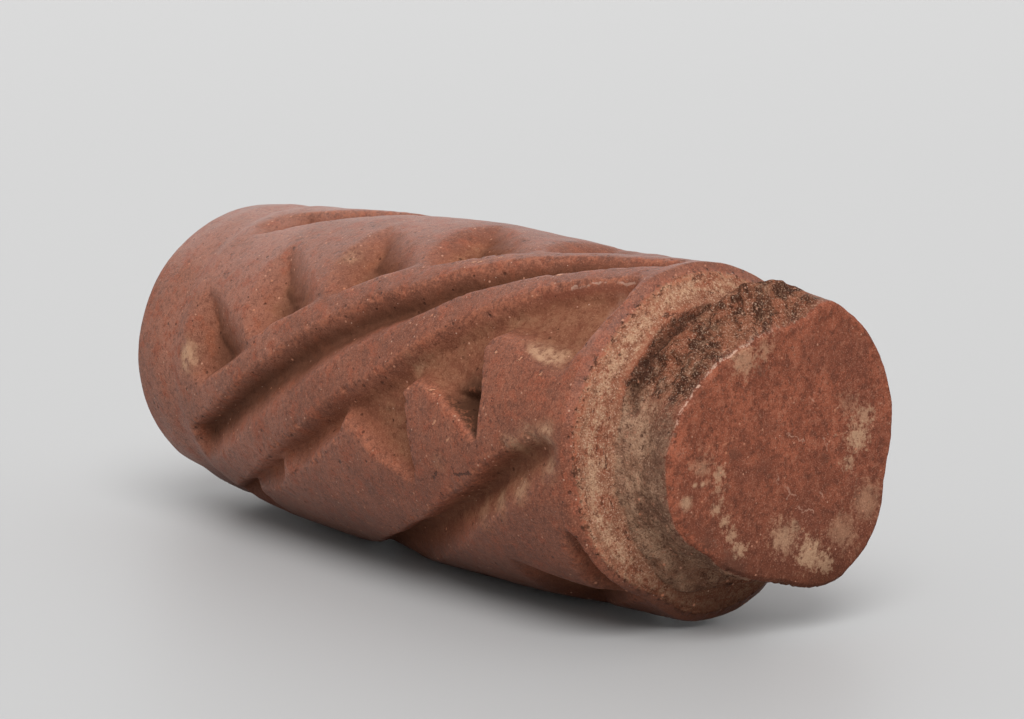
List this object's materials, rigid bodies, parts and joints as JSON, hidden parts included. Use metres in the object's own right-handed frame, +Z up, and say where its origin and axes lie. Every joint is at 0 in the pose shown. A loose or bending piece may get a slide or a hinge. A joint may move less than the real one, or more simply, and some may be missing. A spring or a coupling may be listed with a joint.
{
  "type": "roller stamp",
  "caption": "Solid fired-clay roller stamp: a barrel body carved with slanted ridges, grooves and rows of triangular cuts, held by a boss at each end and rolled to print a band.",
  "frame": {"origin": "on the ground under the middle of the stamp as it lies on its worn spot, at the middle of its overall length and width", "axes": "+X along the roller's axis towards the offset boss, +Z up, +Y across"},
  "size_m": [0.0868, 0.0332, 0.0328],
  "materials": {
    "fired_clay": "unglazed red clay, burnished on the raised faces and worn, with tan soil in the hollows"
  },
  "bodies": {
    "root": {"roller_stamp": "fired_clay"}
  },
  "joints": []
}
